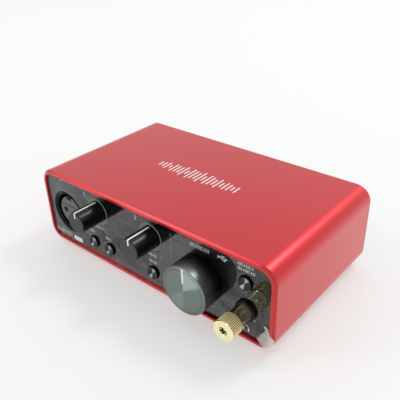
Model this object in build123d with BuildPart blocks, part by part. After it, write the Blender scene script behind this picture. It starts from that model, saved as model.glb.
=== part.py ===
from build123d import *
import os

# Desktop audio interface with two inputs, in millimetres.
# The front panel faces -Y, +X is to the right as the user sees it, and +Z is up.
# The origin is on the table, under the middle of the whole assembly.

# ---------------------------------------------------------------- case and boards
case_width = 143.5
case_height = 41.5
case_depth = 80.0
corner_radius = 7.7
wall = 2.2
front_chamfer = 0.95
rear_chamfer = 0.5
foot_height = 2.0
foot_radius = 6.0
panel_recess = 1.1
panel_thickness = 2.5
panel_fit = 0.05
rear_panel_thickness = 2.0
rear_panel_recess = 0.8
board_thickness = 1.6
board_gap = 8.0
film_thickness = 0.15
adapter_reach = 14.6
rear_reach = 2.0

# ---------------------------------------------------------------- controls and sockets
shaft_radius = 3.0
running_gap = 0.05
bushing_radius = 3.5
shaft_hole_radius = 3.6
gain_radius = 5.35
gain_reach = 13.4
ring_outer = 6.7
ring_inner = 6.1
ring_depth = 1.5
ring_proud = 0.2
monitor_radius = 11.6
monitor_reach = 10.9
disc_radius = 11.15
disc_thickness = 0.8
knob_gap = 0.6
pointer_width = 0.85
pointer_depth = 0.3
button_hole_radius = 3.5
button_radius = 3.1
button_reach = 1.2
xlr_hole_radius = 11.8
xlr_radius = 11.75
xlr_bore = 9.8
xlr_insert_radius = 8.0
xlr_length = 26.0
jack_bore = 3.3
jack_bushing = 4.5
jack_hole_radius = 4.6
jack_length = 31.0
nut_height = 1.6
plug_radius = 3.17
plug_length = 30.4
grip_radius = 4.75
small_jack_bore = 1.8

# ---------------------------------------------------------------- worked-out stations
overall_depth = adapter_reach + case_depth + rear_reach
front_edge = adapter_reach - overall_depth / 2
rear_edge = front_edge + case_depth
panel_face = front_edge + panel_recess
panel_back = panel_face + panel_thickness
front_board_face = panel_back + board_gap
front_board_back = front_board_face + board_thickness
rear_panel_back = rear_edge - rear_panel_recess
rear_panel_front = rear_panel_back - rear_panel_thickness
mid_height = foot_height + case_height / 2
inner_width = case_width - 2 * wall
inner_height = case_height - 2 * wall
inner_radius = corner_radius - wall
floor_height = foot_height + wall
main_board_bottom = floor_height + 2.8
main_board_top = main_board_bottom + board_thickness
main_board_front = front_board_back + 1.0
main_board_rear = rear_panel_front - 3.0


def above_base(x, height):
    """A point of the front, given by its height above the case's underside."""
    return (x, foot_height + height)


xlr_centre = above_base(-54.8, 20.1)
gain_centres = [above_base(-30.7, 29.3), above_base(5.05, 29.4)]
monitor_centre = above_base(33.4, 19.8)
button_centres = {
    "phantom": above_base(-36.5, 9.6),
    "tone": above_base(-24.8, 9.6),
    "instrument": above_base(5.1, 9.6),
    "direct": above_base(57.0, 29.2),
}
input_jack_centre = above_base(-9.2, 17.0)
headphone_centre = above_base(57.5, 15.5)
front_jacks = {
    "input_jack": (input_jack_centre, 5.2),
    "headphone_jack": (headphone_centre, 5.0),
}
line_out_height = main_board_top + 9.0
line_out_centres = {
    "line_out_jack_left": (46.0, line_out_height),
    "line_out_jack_right": (26.0, line_out_height),
}
post_centres = [(-18.3, 12.0), (-14.0, 35.5), (20.0, 35.5), (45.0, 10.5)]
rear_screw_centres = [(sx * 66.6, mid_height + dz) for sx in (-1, 1) for dz in (-8.2, 12.6)]
status_light_centre = above_base(45.2, 35.0)
foot_centres = [(sx * 54.0, y) for sx in (-1, 1) for y in (front_edge + 13, rear_edge - 13)]


# ---------------------------------------------------------------- working planes
def facing(y):
    """The upright plane across the case at depth y, whose normal points to the user."""
    return Plane.XZ.offset(-y)


def turning(centre):
    """The level plane through a front-to-back axis: local x is the radius, local y the depth."""
    return Plane(origin=(centre[0], 0, centre[1]), x_dir=(1, 0, 0), z_dir=(0, 0, 1))


def spindle(centre):
    """The front-to-back axis through a point of the front."""
    return Axis((centre[0], 0, centre[1]), (0, 1, 0))


def write(piece, name):
    """Label a finished piece and write it as its own node."""
    piece.part.label = name
    export_step(piece.part, f"parts/{name}.step")


os.makedirs("parts", exist_ok=True)

# ---------------------------------------------------------------- case shell
# One extruded aluminium sleeve, open at the front and rear, with board slots in its side walls
# and four screw channels for the rear panel.
rail_reach = 1.8
rail_thickness = 1.0
rail_root = 0.2
slot_play = 0.15
channel_radius = 3.2
channel_length = 26.0
thread_radius = 1.2

with BuildPart() as case_shell:
    with BuildSketch(facing(rear_edge)):
        with Locations((0, mid_height)):
            RectangleRounded(case_width, case_height, corner_radius)
    extrude(amount=case_depth)
    chamfer(case_shell.edges().group_by(Axis.Y)[0], front_chamfer)
    chamfer(case_shell.edges().group_by(Axis.Y)[-1], rear_chamfer)
    with BuildSketch(facing(rear_edge)):
        with Locations((0, mid_height)):
            RectangleRounded(inner_width, inner_height, inner_radius)
    extrude(amount=case_depth, mode=Mode.SUBTRACT)
    with BuildSketch(facing(rear_panel_front)):
        for side in (-1, 1):
            rail_x = side * (inner_width / 2 - rail_reach / 2 + rail_root / 2)
            below = main_board_bottom - rail_thickness / 2
            over = main_board_top + slot_play + rail_thickness / 2
            with Locations((rail_x, below), (rail_x, over)):
                Rectangle(rail_reach + rail_root, rail_thickness)
    extrude(amount=rear_panel_front - main_board_front)
    with BuildSketch(facing(rear_panel_front)):
        with Locations(*rear_screw_centres):
            Circle(channel_radius)
            Circle(thread_radius, mode=Mode.SUBTRACT)
    extrude(amount=channel_length)
write(case_shell, "case_shell")

# ---------------------------------------------------------------- feet
# Four moulded rubber discs stuck under the case.
foot_taper = 0.5

with BuildPart() as feet:
    with BuildSketch(Plane.XY):
        with Locations(*foot_centres):
            Circle(foot_radius)
    extrude(amount=foot_height)
    chamfer(feet.edges().group_by(Axis.Z)[0], foot_taper)
write(feet, "feet")

# ---------------------------------------------------------------- front panel
# A moulded black plate that fits inside the sleeve, with posts behind it for the front board.
post_radius = 2.0

with BuildPart() as front_panel:
    with BuildSketch(facing(panel_back)):
        with Locations((0, mid_height)):
            RectangleRounded(
                inner_width - 2 * panel_fit, inner_height - 2 * panel_fit, inner_radius - panel_fit
            )
        with Locations(xlr_centre):
            Circle(xlr_hole_radius, mode=Mode.SUBTRACT)
        with Locations(*gain_centres, monitor_centre):
            Circle(shaft_hole_radius, mode=Mode.SUBTRACT)
        with Locations(*button_centres.values()):
            Circle(button_hole_radius, mode=Mode.SUBTRACT)
        with Locations(input_jack_centre, headphone_centre):
            Circle(jack_hole_radius, mode=Mode.SUBTRACT)
    extrude(amount=panel_thickness)
    with BuildSketch(facing(panel_face + ring_depth)):
        with Locations(*gain_centres):
            Circle(ring_outer)
            Circle(ring_inner, mode=Mode.SUBTRACT)
    extrude(amount=ring_depth, mode=Mode.SUBTRACT)
write(front_panel, "front_panel")

with BuildPart() as panel_posts:
    with BuildSketch(facing(front_board_face)):
        with Locations(*post_centres):
            Circle(post_radius)
            Circle(thread_radius, mode=Mode.SUBTRACT)
    extrude(amount=board_gap)
write(panel_posts, "panel_posts")

# ---------------------------------------------------------------- protective film
# The thin clear film still on the panel, open around each control. Its lower right corner is
# peeled away from the panel, so the flat part ends in a diagonal there.
film_margin = 0.4
film_gap = 0.45
peel_width = 8.5
peel_height = 9.5
film_corner = inner_radius - film_margin
film_right = inner_width / 2 - film_margin
film_bottom = floor_height + film_margin

with BuildPart() as protective_film:
    with BuildSketch(facing(panel_face)):
        with Locations((0, mid_height)):
            RectangleRounded(2 * film_right, inner_height - 2 * film_margin, film_corner)
        with Locations(xlr_centre):
            Circle(xlr_hole_radius + film_gap, mode=Mode.SUBTRACT)
        with Locations(*gain_centres):
            Circle(ring_outer + film_gap, mode=Mode.SUBTRACT)
        with Locations(monitor_centre):
            Circle(monitor_radius + film_gap, mode=Mode.SUBTRACT)
        with Locations(*button_centres.values()):
            Circle(button_hole_radius + film_gap, mode=Mode.SUBTRACT)
        for centre, nut_radius in front_jacks.values():
            with Locations(centre):
                Circle(nut_radius + film_gap, mode=Mode.SUBTRACT)
        with BuildLine():
            Polyline(
                (film_right - peel_width, film_bottom),
                (film_right, film_bottom + peel_height),
                (film_right, film_bottom),
                close=True,
            )
        make_face(mode=Mode.SUBTRACT)
    extrude(amount=film_thickness)
write(protective_film, "protective_film")

# ---------------------------------------------------------------- rear panel
# A flat black plate with the jack holes, the data socket's opening and the lock slot.
usb_centre = (-14.0, main_board_top + 1.6)
lock_centre = (-48.0, mid_height)
usb_opening = (9.4, 3.6)
usb_opening_radius = 1.7
lock_width = 7.0
lock_height = 3.0
rear_hole_radius = 1.5

with BuildPart() as rear_panel:
    with BuildSketch(facing(rear_panel_back)):
        with Locations((0, mid_height)):
            RectangleRounded(
                inner_width - 2 * panel_fit, inner_height - 2 * panel_fit, inner_radius - panel_fit
            )
        with Locations(*line_out_centres.values()):
            Circle(jack_hole_radius, mode=Mode.SUBTRACT)
        with Locations(usb_centre):
            RectangleRounded(*usb_opening, usb_opening_radius, mode=Mode.SUBTRACT)
        with Locations(lock_centre):
            RectangleRounded(lock_width, lock_height, 1.0, mode=Mode.SUBTRACT)
        with Locations(*rear_screw_centres):
            Circle(rear_hole_radius, mode=Mode.SUBTRACT)
    extrude(amount=rear_panel_thickness)
write(rear_panel, "rear_panel")

# ---------------------------------------------------------------- rear screws
# Four pan-head screws through the rear panel into the sleeve's screw channels.
screw_head_radius = 2.3
screw_head_height = 0.75
screw_length = 8.0

with BuildPart() as rear_screws:
    with BuildSketch(facing(rear_panel_back + screw_head_height)):
        with Locations(*rear_screw_centres):
            Circle(screw_head_radius)
    extrude(amount=screw_head_height)
    with BuildSketch(facing(rear_panel_back)):
        with Locations(*rear_screw_centres):
            Circle(thread_radius)
    extrude(amount=screw_length)
write(rear_screws, "rear_screws")

# ---------------------------------------------------------------- gain controls
# Each gain control is a light ring in the panel, a potentiometer on the front board, its shaft,
# and a plain black knob with a white line let into its top and its face.
ring_play = 0.02
pot_width = 10.0
pot_height = 11.5
pot_depth = 6.6
pot_floor = 2.3
shaft_start = front_board_face - pot_floor - 0.1
shaft_flat = 2.2
knob_edge = 0.45
face_line = 2.9
gain_face = panel_face - gain_reach
knob_base = panel_face - knob_gap
knob_front_wall = 2.4

for number, centre in enumerate(gain_centres, 1):
    centre_x, centre_z = centre

    with BuildPart() as gain_ring:
        with BuildSketch(facing(panel_face + ring_depth)):
            with Locations(centre):
                Circle(ring_outer - ring_play)
                Circle(ring_inner + ring_play, mode=Mode.SUBTRACT)
        extrude(amount=ring_depth + ring_proud)
    write(gain_ring, f"gain_ring_{number}")

    with BuildPart() as gain_pot:
        with BuildSketch(facing(front_board_face)):
            with Locations(centre):
                Rectangle(pot_width, pot_height)
        extrude(amount=pot_depth)
        with BuildSketch(facing(front_board_face - pot_depth)):
            with Locations(centre):
                Circle(bushing_radius)
        extrude(amount=front_board_face - pot_depth - panel_face - 0.3)
        with BuildSketch(facing(front_board_face - pot_floor)):
            with Locations(centre):
                Circle(shaft_radius + running_gap)
        extrude(amount=board_gap + panel_thickness, mode=Mode.SUBTRACT)
    write(gain_pot, f"gain_pot_{number}")

    with BuildPart() as gain_shaft:
        with BuildSketch(facing(shaft_start)):
            with Locations(centre):
                Circle(shaft_radius)
        extrude(amount=shaft_start - gain_face - knob_front_wall)
        with BuildSketch(facing(knob_base)):
            with Locations((centre_x, centre_z - shaft_flat - shaft_radius)):
                Rectangle(2 * shaft_radius, 2 * shaft_radius)
        extrude(amount=gain_reach, mode=Mode.SUBTRACT)
    write(gain_shaft, f"gain_shaft_{number}")

    with BuildPart() as gain_blank:
        with BuildSketch(facing(knob_base)):
            with Locations(centre):
                Circle(gain_radius)
        extrude(amount=knob_base - gain_face)
        fillet(gain_blank.edges().group_by(Axis.Y)[0], knob_edge)

    with BuildPart() as gain_pointer:
        with BuildSketch(facing(knob_base)):
            with Locations((centre_x, centre_z + gain_radius)):
                Rectangle(pointer_width, 2 * pointer_depth)
        extrude(amount=knob_base - gain_face)
        with BuildSketch(facing(gain_face + pointer_depth)):
            with Locations((centre_x, centre_z + gain_radius - face_line / 2)):
                Rectangle(pointer_width, face_line)
        extrude(amount=pointer_depth)
        add(gain_blank.part, mode=Mode.INTERSECT)
    write(gain_pointer, f"gain_pointer_{number}")

    with BuildPart() as gain_knob:
        add(gain_blank.part)
        add(gain_pointer.part, mode=Mode.SUBTRACT)
        add(gain_shaft.part, mode=Mode.SUBTRACT)
    write(gain_knob, f"gain_knob_{number}")

# ---------------------------------------------------------------- monitor control
# The large output knob: a hollow black skirt round a hub, with a turned aluminium disc let into
# its front and a white line across the disc.
monitor_face = panel_face - monitor_reach
disc_proud = 0.15
skirt_inner = 9.8
hub_radius = 5.0
crown_thickness = 2.2
monitor_edge = 0.3
line_inner = 4.1
line_outer = 11.0
disc_back = monitor_face + disc_thickness
disc_bevel = 0.25

with BuildPart() as monitor_pot:
    with BuildSketch(facing(front_board_face)):
        with Locations(monitor_centre):
            Rectangle(pot_width, pot_height)
    extrude(amount=pot_depth)
    with BuildSketch(facing(front_board_face - pot_depth)):
        with Locations(monitor_centre):
            Circle(bushing_radius)
    extrude(amount=front_board_face - pot_depth - panel_face - 0.3)
    with BuildSketch(facing(front_board_face - pot_floor)):
        with Locations(monitor_centre):
            Circle(shaft_radius + running_gap)
    extrude(amount=board_gap + panel_thickness, mode=Mode.SUBTRACT)
write(monitor_pot, "monitor_pot")

with BuildPart() as monitor_shaft:
    with BuildSketch(facing(shaft_start)):
        with Locations(monitor_centre):
            Circle(shaft_radius)
    extrude(amount=shaft_start - disc_back)
    with BuildSketch(facing(knob_base)):
        with Locations((monitor_centre[0], monitor_centre[1] - shaft_flat - shaft_radius)):
            Rectangle(2 * shaft_radius, 2 * shaft_radius)
    extrude(amount=monitor_reach, mode=Mode.SUBTRACT)
write(monitor_shaft, "monitor_shaft")

with BuildPart() as disc_blank:
    with BuildSketch(facing(disc_back)):
        with Locations(monitor_centre):
            Circle(disc_radius)
    extrude(amount=disc_thickness)
    chamfer(disc_blank.edges().group_by(Axis.Y)[0], disc_bevel)

with BuildPart() as monitor_pointer:
    with BuildSketch(facing(monitor_face + pointer_depth)):
        with Locations((monitor_centre[0], monitor_centre[1] + (line_inner + line_outer) / 2)):
            Rectangle(pointer_width, line_outer - line_inner)
    extrude(amount=pointer_depth)
    add(disc_blank.part, mode=Mode.INTERSECT)
write(monitor_pointer, "monitor_pointer")

with BuildPart() as monitor_disc:
    add(disc_blank.part)
    add(monitor_pointer.part, mode=Mode.SUBTRACT)
write(monitor_disc, "monitor_disc")

with BuildPart() as monitor_knob:
    with BuildSketch(facing(knob_base)):
        with Locations(monitor_centre):
            Circle(monitor_radius)
    extrude(amount=knob_base - monitor_face - disc_proud)
    fillet(monitor_knob.edges().group_by(Axis.Y)[0], monitor_edge)
    with BuildSketch(facing(disc_back)):
        with Locations(monitor_centre):
            Circle(disc_radius)
    extrude(amount=disc_thickness, mode=Mode.SUBTRACT)
    with BuildSketch(facing(knob_base)):
        with Locations(monitor_centre):
            Circle(skirt_inner)
            Circle(hub_radius, mode=Mode.SUBTRACT)
    extrude(amount=knob_base - disc_back - crown_thickness, mode=Mode.SUBTRACT)
    add(monitor_shaft.part, mode=Mode.SUBTRACT)
write(monitor_knob, "monitor_knob")

# ---------------------------------------------------------------- push buttons
# Four round caps with a dished face. A flange behind the panel keeps each cap in its hole, and
# its stem presses a small switch on the front board.
button_dish = 0.35
button_rim = 0.3
flange_radius = 3.9
flange_thickness = 0.8
flange_gap = 0.05
stem_radius = 1.5
stem_end = front_board_face - 2.5
switch_size = 6.2
switch_depth = 4.3
switch_floor = 1.3
stem_play = 0.15

for name, centre in button_centres.items():
    button_face = panel_face - button_reach
    flange_front = panel_back + flange_gap

    with BuildPart() as button:
        with BuildSketch(turning(centre)):
            with BuildLine():
                Line((0, stem_end), (0, button_face + button_dish))
                ThreePointArc(
                    (0, button_face + button_dish),
                    (button_radius * 0.55, button_face + button_dish * 0.62),
                    (button_radius - button_rim, button_face),
                )
                Polyline(
                    (button_radius - button_rim, button_face),
                    (button_radius, button_face + button_rim / 2),
                    (button_radius, flange_front),
                    (flange_radius, flange_front),
                    (flange_radius, flange_front + flange_thickness),
                    (stem_radius, flange_front + flange_thickness),
                    (stem_radius, stem_end),
                    (0, stem_end),
                )
            make_face()
        revolve(axis=spindle(centre))
    write(button, f"{name}_button")

    with BuildPart() as switch:
        with BuildSketch(facing(front_board_face)):
            with Locations(centre):
                Rectangle(switch_size, switch_size)
        extrude(amount=switch_depth)
        with BuildSketch(facing(front_board_face - switch_floor)):
            with Locations(centre):
                Circle(stem_radius + stem_play)
        extrude(amount=switch_depth, mode=Mode.SUBTRACT)
    write(switch, f"{name}_switch")

# ---------------------------------------------------------------- microphone socket
# A three-pole female socket: a black housing with a chamfered mouth, a grey insert with a key
# slot and three contact holes, and three tube contacts with tails down to the main board.
xlr_rear = panel_face + xlr_length
xlr_floor = xlr_rear - 3.0
mouth_radius = 11.35
mouth_depth = 1.0
insert_face = panel_face + 1.0
insert_edge = 0.4
contact_offset = 3.8
contact_radius = 1.6
contact_bore = 1.25
contact_setback = 1.2
tail_radius = 0.5
key_width = 3.4
key_depth = 1.7
key_length = 12.0
groove_height = 3.1
groove_width = 0.5
groove_depth = 0.4
xlr_base_width = 16.0
xlr_base_length = 10.0
xlr_x, xlr_z = xlr_centre
contact_centres = [
    (xlr_x - contact_offset, xlr_z),
    (xlr_x + contact_offset, xlr_z),
    (xlr_x, xlr_z - contact_offset),
]

with BuildPart() as xlr_housing:
    with BuildSketch(turning(xlr_centre)):
        with BuildLine():
            Polyline(
                (mouth_radius, panel_face),
                (xlr_radius, panel_face),
                (xlr_radius, xlr_rear),
                (0, xlr_rear),
                (0, xlr_floor),
                (xlr_bore, xlr_floor),
                (xlr_bore, panel_face + mouth_depth),
                close=True,
            )
        make_face()
    revolve(axis=spindle(xlr_centre))
    with BuildSketch(facing(xlr_rear)):
        base_top = xlr_z - xlr_bore
        with Locations((xlr_x, (main_board_top + base_top) / 2)):
            Rectangle(xlr_base_width, base_top - main_board_top)
    extrude(amount=xlr_base_length)
    with BuildSketch(facing(xlr_floor)):
        with Locations(xlr_centre):
            Circle(xlr_bore)
    extrude(amount=xlr_length, mode=Mode.SUBTRACT)
    with BuildSketch(facing(xlr_rear)):
        with Locations(*contact_centres):
            Circle(tail_radius)
    extrude(amount=xlr_length, mode=Mode.SUBTRACT)
write(xlr_housing, "xlr_housing")

with BuildPart() as xlr_insert:
    with BuildSketch(facing(xlr_floor)):
        with Locations(xlr_centre):
            Circle(xlr_insert_radius)
        with Locations(*contact_centres):
            Circle(contact_radius, mode=Mode.SUBTRACT)
    extrude(amount=xlr_floor - insert_face)
    rim = xlr_insert.edges().group_by(Axis.Y)[0].sort_by(SortBy.RADIUS)[-1]
    chamfer(rim, insert_edge)
    with BuildSketch(facing(insert_face + key_length)):
        with Locations((xlr_x, xlr_z + xlr_insert_radius)):
            Rectangle(key_width, 2 * key_depth)
    extrude(amount=key_length, mode=Mode.SUBTRACT)
    with BuildSketch(facing(insert_face + groove_depth)):
        with Locations((xlr_x, xlr_z + groove_height)):
            Rectangle(2 * xlr_insert_radius, groove_width)
    extrude(amount=groove_depth, mode=Mode.SUBTRACT)
write(xlr_insert, "xlr_insert")

with BuildPart() as xlr_contacts:
    with BuildSketch(facing(xlr_floor)):
        with Locations(*contact_centres):
            Circle(contact_radius)
    extrude(amount=xlr_floor - insert_face - contact_setback)
    with BuildSketch(facing(xlr_floor - 1.5)):
        with Locations(*contact_centres):
            Circle(contact_bore)
    extrude(amount=xlr_length, mode=Mode.SUBTRACT)
    with BuildSketch(facing(xlr_rear + 1.5)):
        with Locations(*contact_centres):
            Circle(tail_radius)
    extrude(amount=xlr_rear + 1.5 - xlr_floor)
    for tail_x, tail_z in contact_centres:
        with BuildSketch(Plane.XY.offset(main_board_top)):
            with Locations((tail_x, xlr_rear + 1.0)):
                Circle(tail_radius)
        extrude(amount=tail_z - main_board_top)
write(xlr_contacts, "xlr_contacts")

# ---------------------------------------------------------------- front jacks
# Two 6.35 mm jacks on the main board. Their bushings pass through the front panel, and each is
# held by a round nut on the panel's face.
jack_width = 13.0
jack_head = 6.5
jack_end_wall = 1.2
nut_edge = 0.35
box_start = 3.0

for name, (centre, nut_radius) in front_jacks.items():
    jack_x, jack_z = centre
    mouth = panel_face - nut_height
    jack_rear = mouth + jack_length + jack_end_wall

    with BuildPart() as front_jack:
        with BuildSketch(facing(jack_rear)):
            with Locations((jack_x, (main_board_top + jack_z + jack_head) / 2)):
                Rectangle(jack_width, jack_z + jack_head - main_board_top)
        extrude(amount=jack_rear - main_board_front - box_start)
        with BuildSketch(facing(jack_rear)):
            with Locations(centre):
                Circle(jack_bushing)
        extrude(amount=jack_rear - mouth)
        with BuildSketch(facing(mouth + jack_length)):
            with Locations(centre):
                Circle(jack_bore)
        extrude(amount=jack_length, mode=Mode.SUBTRACT)
    write(front_jack, name)

    with BuildPart() as jack_nut:
        with BuildSketch(facing(panel_face)):
            with Locations(centre):
                Circle(nut_radius)
                Circle(jack_bushing, mode=Mode.SUBTRACT)
        extrude(amount=nut_height)
        outer_edge = jack_nut.edges().group_by(Axis.Y)[0].sort_by(SortBy.RADIUS)[-1]
        chamfer(outer_edge, nut_edge)
    write(jack_nut, f"{name}_nut")

# ---------------------------------------------------------------- rear jacks
# Two line output jacks face the rear, held by hexagon nuts on the rear panel.
rear_mouth = rear_edge + rear_reach
rear_nut_height = 2.0
rear_nut_radius = 6.2
rear_jack_front = rear_mouth - jack_length - jack_end_wall

for name, centre in line_out_centres.items():
    jack_x, jack_z = centre

    with BuildPart() as rear_jack:
        with BuildSketch(facing(rear_panel_front)):
            with Locations((jack_x, (main_board_top + jack_z + jack_head) / 2)):
                Rectangle(jack_width, jack_z + jack_head - main_board_top)
        extrude(amount=rear_panel_front - rear_jack_front)
        with BuildSketch(facing(rear_mouth)):
            with Locations(centre):
                Circle(jack_bushing)
        extrude(amount=rear_mouth - rear_panel_front)
        with BuildSketch(facing(rear_mouth)):
            with Locations(centre):
                Circle(jack_bore)
        extrude(amount=jack_length, mode=Mode.SUBTRACT)
    write(rear_jack, name)

with BuildPart() as line_out_nuts:
    with BuildSketch(facing(rear_panel_back + rear_nut_height)):
        with Locations(*line_out_centres.values()):
            RegularPolygon(rear_nut_radius, 6)
            Circle(jack_bushing, mode=Mode.SUBTRACT)
    extrude(amount=rear_nut_height)
write(line_out_nuts, "line_out_nuts")

# ---------------------------------------------------------------- jack lugs
# Flat solder lugs down both sides of each jack body.
lug_thickness = 0.5
lug_width = 2.4
lug_pitch = 6.0
front_lug_start = main_board_front + 6.0
rear_lug_start = rear_jack_front + 4.0
lug_places = []
for jack_x, lug_start in [
    (input_jack_centre[0], front_lug_start),
    (headphone_centre[0], front_lug_start),
    (line_out_centres["line_out_jack_left"][0], rear_lug_start),
    (line_out_centres["line_out_jack_right"][0], rear_lug_start),
]:
    for side in (-1, 1):
        lug_x = jack_x + side * (jack_width + lug_thickness) / 2
        lug_places += [(lug_x, lug_start), (lug_x, lug_start + lug_pitch)]

with BuildPart() as jack_lugs:
    with BuildSketch(Plane.XY.offset(main_board_top)):
        with Locations(*lug_places):
            Rectangle(lug_thickness, lug_width)
    extrude(amount=7.0)
write(jack_lugs, "jack_lugs")

# ---------------------------------------------------------------- headphone adapter
# A 6.35 mm plug to 3.5 mm socket adapter, pushed home in the headphone jack: a gilt grip with a
# neck behind it, then sleeve, insulator, ring, insulator and tip along one axis.
adapter_face = front_edge - adapter_reach
shoulder = panel_face - nut_height
grip_length = 6.9
grip_edge = 0.45
neck_radius = 4.1
neck_waist = 3.55
waist_length = 1.6
sleeve_length = 18.4
insulator_length = 1.2
contact_ring_length = 4.2
ring_start = shoulder + sleeve_length + insulator_length
second_insulator = ring_start + contact_ring_length
tip_start = second_insulator + insulator_length
tip_end = shoulder + plug_length
tip_neck = 2.1
tip_bulb = 2.85
tip_point = 1.0
grip_back = adapter_face + grip_length

with BuildPart() as adapter_grip:
    with BuildSketch(turning(headphone_centre)):
        with BuildLine():
            Polyline(
                (small_jack_bore, adapter_face),
                (grip_radius - grip_edge, adapter_face),
                (grip_radius, adapter_face + grip_edge),
                (grip_radius, grip_back - grip_edge),
                (grip_radius - grip_edge, grip_back),
                (neck_waist, grip_back),
                (neck_waist, grip_back + waist_length),
                (neck_radius, grip_back + waist_length),
                (neck_radius, shoulder),
                (small_jack_bore, shoulder),
                close=True,
            )
        make_face()
    revolve(axis=spindle(headphone_centre))
write(adapter_grip, "adapter_grip")

with BuildPart() as adapter_sleeve:
    with BuildSketch(facing(shoulder + sleeve_length)):
        with Locations(headphone_centre):
            Circle(plug_radius)
    extrude(amount=sleeve_length)
write(adapter_sleeve, "adapter_sleeve")

with BuildPart() as adapter_insulators:
    with BuildSketch(facing(ring_start)):
        with Locations(headphone_centre):
            Circle(plug_radius)
    extrude(amount=insulator_length)
    with BuildSketch(facing(tip_start)):
        with Locations(headphone_centre):
            Circle(plug_radius)
    extrude(amount=insulator_length)
write(adapter_insulators, "adapter_insulators")

with BuildPart() as adapter_ring:
    with BuildSketch(facing(second_insulator)):
        with Locations(headphone_centre):
            Circle(plug_radius)
    extrude(amount=contact_ring_length)
write(adapter_ring, "adapter_ring")

with BuildPart() as adapter_tip:
    with BuildSketch(turning(headphone_centre)):
        with BuildLine():
            Polyline(
                (0, tip_start),
                (plug_radius, tip_start),
                (tip_neck, tip_start + 1.2),
                (tip_bulb, tip_start + 2.6),
                (tip_point, tip_end),
                (0, tip_end),
                close=True,
            )
        make_face()
    revolve(axis=spindle(headphone_centre))
write(adapter_tip, "adapter_tip")

# ---------------------------------------------------------------- circuit boards
# The main board slides into the sleeve's slots. The front board stands behind the panel, screwed
# to its posts, with openings for the microphone socket and the jacks.
board_side_play = 0.9
front_board_size = (132.0, 35.0)
front_board_corner = 3.0
board_hole_radius = 1.3
board_clearance = 0.4

with BuildPart() as main_board:
    with BuildSketch(Plane.XY.offset(main_board_bottom)):
        with Locations((0, (main_board_front + main_board_rear) / 2)):
            Rectangle(inner_width - 2 * board_side_play, main_board_rear - main_board_front)
    extrude(amount=board_thickness)
write(main_board, "main_board")

with BuildPart() as front_board:
    with BuildSketch(facing(front_board_back)):
        with Locations((0, mid_height)):
            RectangleRounded(*front_board_size, front_board_corner)
        with Locations(xlr_centre):
            Circle(xlr_radius + board_clearance, mode=Mode.SUBTRACT)
        with Locations(input_jack_centre, headphone_centre):
            Circle(jack_bushing + board_clearance, mode=Mode.SUBTRACT)
        with Locations(*post_centres):
            Circle(board_hole_radius, mode=Mode.SUBTRACT)
    extrude(amount=board_thickness)
write(front_board, "front_board")

# ---------------------------------------------------------------- board screws
# Four pan-head screws hold the front board to the panel's posts.
board_screw_head = 2.0
board_screw_head_height = 0.8
board_screw_length = 7.0

with BuildPart() as board_screws:
    with BuildSketch(facing(front_board_back + board_screw_head_height)):
        with Locations(*post_centres):
            Circle(board_screw_head)
    extrude(amount=board_screw_head_height)
    with BuildSketch(facing(front_board_back)):
        with Locations(*post_centres):
            Circle(thread_radius)
    extrude(amount=board_screw_length)
write(board_screws, "board_screws")

# ---------------------------------------------------------------- board header
# A right-angle strip that joins the front board to the main board.
header_length = 20.0
header_height = 2.5
header_depth = 3.5
header_x = 31.0

with BuildPart() as board_header:
    with BuildSketch(facing(front_board_back + header_depth)):
        with Locations((header_x, main_board_top + header_height / 2)):
            Rectangle(header_length, header_height)
    extrude(amount=header_depth)
write(board_header, "board_header")

# ---------------------------------------------------------------- chips and capacitors
# The processor, the converter and two small amplifiers lie on the main board. Six electrolytic
# capacitors stand between them.
chip_height = 1.4
chips = [
    (-12.0, 14.0, 14.0, 14.0),
    (8.0, 12.0, 9.0, 9.0),
    (-38.0, 6.0, 5.0, 6.0),
    (36.0, -2.0, 5.0, 6.0),
]
capacitor_height = 9.0
capacitor_radius = 3.15
capacitor_places = [(x, y) for x in (-38.0, -30.0) for y in (18.0, 26.0)]
capacitor_places += [(8.0, 26.0), (8.0, 34.0)]

with BuildPart() as board_chips:
    for chip_x, chip_y, chip_width, chip_length in chips:
        with BuildSketch(Plane.XY.offset(main_board_top)):
            with Locations((chip_x, chip_y)):
                Rectangle(chip_width, chip_length)
        extrude(amount=chip_height)
write(board_chips, "board_chips")

with BuildPart() as capacitors:
    with BuildSketch(Plane.XY.offset(main_board_top)):
        with Locations(*capacitor_places):
            Circle(capacitor_radius)
    extrude(amount=capacitor_height)
    fillet(capacitors.edges().group_by(Axis.Z)[-1], 0.5)
write(capacitors, "capacitors")

# ---------------------------------------------------------------- data socket
# A USB-C receptacle on the main board: a folded steel shell with a plastic tongue inside.
usb_shell = (8.9, 3.2)
usb_shell_radius = 1.55
usb_wall = 0.3
usb_depth = 9.0
tongue_size = (6.7, 0.7)
tongue_length = 6.0
usb_floor = 1.0

with BuildPart() as usb_socket:
    with BuildSketch(facing(rear_panel_back)):
        with Locations(usb_centre):
            RectangleRounded(*usb_shell, usb_shell_radius)
    extrude(amount=usb_depth)
    with BuildSketch(facing(rear_panel_back)):
        with Locations(usb_centre):
            inner_size = (usb_shell[0] - 2 * usb_wall, usb_shell[1] - 2 * usb_wall)
            RectangleRounded(*inner_size, usb_shell_radius - usb_wall)
    extrude(amount=usb_depth - usb_floor, mode=Mode.SUBTRACT)
write(usb_socket, "usb_socket")

with BuildPart() as usb_tongue:
    with BuildSketch(facing(rear_panel_back - usb_depth + usb_floor + tongue_length)):
        with Locations(usb_centre):
            Rectangle(*tongue_size)
    extrude(amount=tongue_length)
write(usb_tongue, "usb_tongue")

# ---------------------------------------------------------------- status light pipe
# A clear rod from the front board to the back of the panel, behind the connection symbol.
light_pipe_radius = 1.2

with BuildPart() as status_light_pipe:
    with BuildSketch(facing(front_board_face)):
        with Locations(status_light_centre):
            Circle(light_pipe_radius)
    extrude(amount=board_gap)
write(status_light_pipe, "status_light_pipe")
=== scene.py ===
import math

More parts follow.
